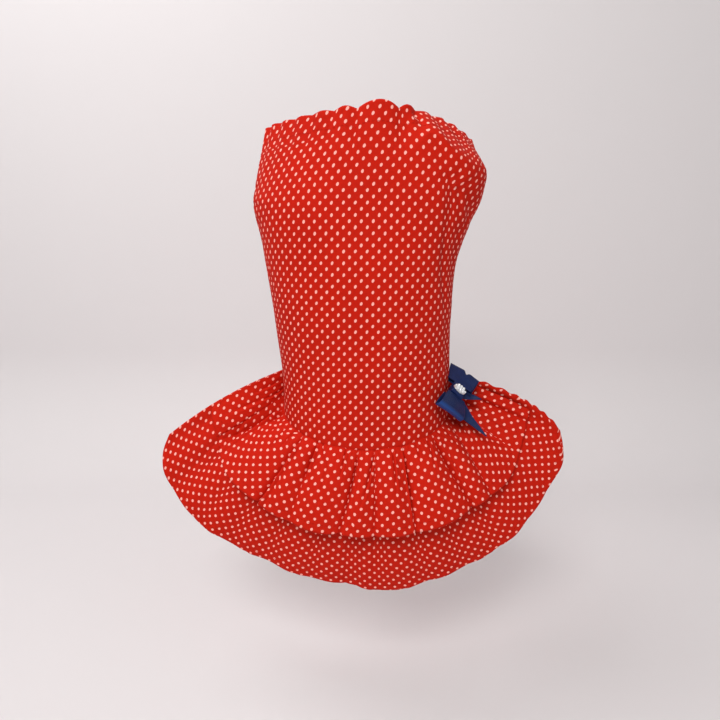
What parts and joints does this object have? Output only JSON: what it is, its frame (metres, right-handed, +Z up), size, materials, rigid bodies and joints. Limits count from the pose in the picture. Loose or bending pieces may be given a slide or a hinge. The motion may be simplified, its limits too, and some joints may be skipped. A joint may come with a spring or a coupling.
{
  "type": "pet dress",
  "caption": "Sleeveless dress for a small dog, with a gathered neck, layered gathered skirt and ribbon bow.",
  "frame": {"origin": "middle of the neck opening, where the wearer's neck carries the dress", "axes": "+Z up towards the neck, -Y the way the middle of the back faces, +X to the right of someone who looks at the back"},
  "size_m": [0.2728, 0.1237, 0.2998],
  "materials": {
    "cotton": "matt woven cotton, red with small pale dots",
    "ribbon": "navy satin",
    "stones": "clear cut stones"
  },
  "bodies": {
    "root": {"back_panel": "cotton", "belly_panel": "cotton", "skirt_lower_tier": "cotton", "skirt_upper_tier": "cotton", "bow_loop_upper": "ribbon", "bow_loop_lower": "ribbon", "bow_end_side": "ribbon", "bow_end_hanging": "ribbon", "bow_knot": "ribbon", "bow_jewel": "stones"}
  },
  "joints": []
}
